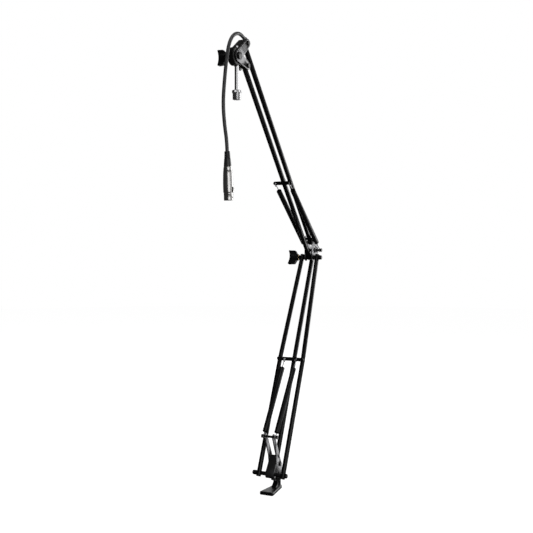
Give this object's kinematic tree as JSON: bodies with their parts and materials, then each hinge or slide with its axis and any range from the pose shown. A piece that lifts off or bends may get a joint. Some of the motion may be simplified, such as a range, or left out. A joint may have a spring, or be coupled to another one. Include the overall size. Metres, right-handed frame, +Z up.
{
  "type": "boom microphone stand",
  "caption": "Spring-balanced boom microphone stand: parallelogram arms on a swivelling foot, with a tilting knuckle, threaded stud and short cable.",
  "frame": {"origin": "where the vertical swivel axis meets the underside of the foot", "axes": "+Z up the swivel axis, +Y along the pivot axles, +X forward, the way the toe and the head point"},
  "size_m": [0.4563, 0.0898, 0.921],
  "materials": {
    "frame_black": "gloss black powder coat",
    "bracket_black": "satin black paint on folded sheet steel",
    "fastener_black": "black oxide, oiled",
    "bright_steel": "bright zinc",
    "spring_steel": "drawn spring wire",
    "sleeve_vinyl": "semi-matt vinyl tube",
    "nylon_black": "moulded nylon",
    "knob_plastic": "fine-grained moulded plastic",
    "brass_insert": "turned",
    "knuckle_black": "satin black die casting",
    "chrome_rod": "polished plate",
    "cable_rubber": "matt cable jacket",
    "boot_rubber": "matt moulded rubber",
    "connector_nickel": "satin nickel plate",
    "insert_black": "moulded insulator",
    "contact_gold": "gold flash"
  },
  "bodies": {
    "foot": {"foot_bracket": "frame_black", "swivel_bush": "nylon_black", "swivel_washer": "nylon_black", "retaining_screw": "bright_steel"},
    "foot_screw": {"thumb_screw": "fastener_black"},
    "base": {"swivel_spigot": "bright_steel", "base_bracket": "bracket_black", "base_axle": "fastener_black", "base_cap_nuts": "fastener_black", "base_spacers": "fastener_black", "base_link_bolt": "fastener_black", "lower_spring_pin": "fastener_black"},
    "lower_arm": {"lower_tube_left": "frame_black", "lower_tube_right": "frame_black", "lower_tube_plugs": "nylon_black", "lower_crossbar": "frame_black", "lower_crossbar_rivets": "frame_black"},
    "lower_link": {"lower_link_tube": "frame_black", "lower_link_plugs": "nylon_black"},
    "lower_springs": {"lower_spring_sleeves": "sleeve_vinyl", "lower_spring_coils": "spring_steel", "lower_spring_bottom_hooks": "spring_steel"},
    "lower_spring_tops": {"lower_spring_top_hooks": "spring_steel"},
    "elbow": {"elbow_bracket": "bracket_black", "elbow_axle": "fastener_black", "elbow_washers": "nylon_black", "elbow_cap_nut": "fastener_black", "elbow_link_bolt": "fastener_black", "elbow_top_bolt": "fastener_black"},
    "elbow_handle": {"elbow_knob": "knob_plastic", "elbow_knob_insert": "brass_insert"},
    "upper_arm": {"upper_front_tube": "frame_black", "upper_front_plugs": "nylon_black", "upper_crossbar": "frame_black", "upper_crossbar_rivet": "frame_black"},
    "upper_link": {"upper_rear_tube": "frame_black", "upper_rear_plugs": "nylon_black"},
    "upper_springs": {"upper_spring_sleeves": "sleeve_vinyl", "upper_spring_coils": "spring_steel", "upper_spring_bottom_hooks": "spring_steel"},
    "upper_spring_tops": {"upper_spring_top_hooks": "spring_steel"},
    "head": {"head_bracket": "bracket_black", "head_lower_bolt": "fastener_black", "head_upper_bolt": "fastener_black", "clamp_bolt": "fastener_black", "neck_washer": "fastener_black", "cable_saddle": "cable_rubber", "xlr_cable": "cable_rubber", "cable_boot": "boot_rubber", "xlr_shell": "connector_nickel", "xlr_insert": "insert_black", "xlr_contacts": "contact_gold"},
    "head_handle": {"head_knob": "knob_plastic", "head_knob_insert": "brass_insert"},
    "latch": {"xlr_latch": "connector_nickel"},
    "mic_knuckle": {"knuckle": "knuckle_black", "friction_washers": "nylon_black"},
    "mic_stud": {"mic_rod": "chrome_rod", "thread_end": "chrome_rod", "rod_collar": "chrome_rod"}
  },
  "joints": [
    {"name": "thumb_screw_turn", "type": "hinge", "parent": "foot", "child": "foot_screw", "pos_m": [0, -0.01, 0.02], "axis": [0, 1, 0], "range_deg": [-180, 180]},
    {"name": "base_swivel", "type": "hinge", "parent": "foot", "child": "base", "pos_m": [0, 0, 0.02], "axis": [0, 0, 1], "range_deg": [-180, 180]},
    {"name": "lower_arm_tilt", "type": "hinge", "parent": "base", "child": "lower_arm", "pos_m": [0.031, 0, 0.038], "axis": [0, 1, 0], "range_deg": [-7, 22]},
    {"name": "lower_link_tilt", "type": "hinge", "parent": "base", "child": "lower_link", "pos_m": [0.006, 0, 0.055], "axis": [0, 1, 0], "range_deg": [-8, 23]},
    {"name": "lower_springs_swing", "type": "hinge", "parent": "base", "child": "lower_springs", "pos_m": [0.037, 0, 0.118], "axis": [0, 1, 0], "range_deg": [-10.7, 31.6]},
    {"name": "lower_spring_tops_swing", "type": "hinge", "parent": "lower_arm", "child": "lower_spring_tops", "pos_m": [-0.06829, 0, 0.26426], "axis": [0, 1, 0], "range_deg": [-3.7, 9.6]},
    {"name": "elbow_level", "type": "hinge", "parent": "lower_arm", "child": "elbow", "pos_m": [-0.18189, 0, 0.49041], "axis": [0, 1, 0], "range_deg": [-23, 8]},
    {"name": "elbow_handle_turn", "type": "hinge", "parent": "elbow", "child": "elbow_handle", "pos_m": [-0.18189, -0.03, 0.49041], "axis": [0, 1, 0], "range_deg": [-180, 180]},
    {"name": "upper_arm_tilt", "type": "hinge", "parent": "elbow", "child": "upper_arm", "pos_m": [-0.18189, 0, 0.49041], "axis": [0, 1, 0], "range_deg": [-21, 28]},
    {"name": "upper_link_tilt", "type": "hinge", "parent": "elbow", "child": "upper_link", "pos_m": [-0.18189, 0, 0.53341], "axis": [0, 1, 0], "range_deg": [-22, 29]},
    {"name": "upper_springs_swing", "type": "hinge", "parent": "elbow", "child": "upper_springs", "pos_m": [-0.20689, 0, 0.50741], "axis": [0, 1, 0], "range_deg": [-20.9, 27.5]},
    {"name": "upper_spring_tops_swing", "type": "hinge", "parent": "upper_arm", "child": "upper_spring_tops", "pos_m": [-0.02969, 0, 0.64802], "axis": [0, 1, 0], "range_deg": [-2.5, 2.1]},
    {"name": "head_level", "type": "hinge", "parent": "upper_arm", "child": "head", "pos_m": [0.15462, 0, 0.86023], "axis": [0, 1, 0], "range_deg": [-29, 22]},
    {"name": "head_handle_turn", "type": "hinge", "parent": "head", "child": "head_handle", "pos_m": [0.19462, -0.02, 0.86973], "axis": [0, 1, 0], "range_deg": [-180, 180]},
    {"name": "mic_tilt", "type": "hinge", "parent": "head", "child": "mic_knuckle", "pos_m": [0.19462, 0, 0.86973], "axis": [0, 1, 0], "range_deg": [-15, 30]},
    {"name": "stud_turn", "type": "hinge", "parent": "mic_knuckle", "child": "mic_stud", "pos_m": [0.18462, 0, 0.86973], "axis": [0, 0, 1], "continuous": true},
    {"name": "latch_press", "type": "slide", "parent": "head", "child": "latch", "axis": [0, -1, 0], "range_m": [0, 0.0009], "stiffness_N_per_m": 400}
  ],
  "couplings": [
    {"joint": "lower_link_tilt", "follows": "lower_arm_tilt", "ratio": 1},
    {"joint": "elbow_level", "follows": "lower_arm_tilt", "ratio": -1},
    {"joint": "lower_springs_swing", "follows": "lower_arm_tilt", "ratio": 1.39},
    {"joint": "lower_spring_tops_swing", "follows": "lower_arm_tilt", "ratio": 0.39},
    {"joint": "upper_link_tilt", "follows": "upper_arm_tilt", "ratio": 1},
    {"joint": "head_level", "follows": "upper_arm_tilt", "ratio": -1},
    {"joint": "upper_springs_swing", "follows": "upper_arm_tilt", "ratio": 0.947},
    {"joint": "upper_spring_tops_swing", "follows": "upper_arm_tilt", "ratio": -0.053}
  ]
}
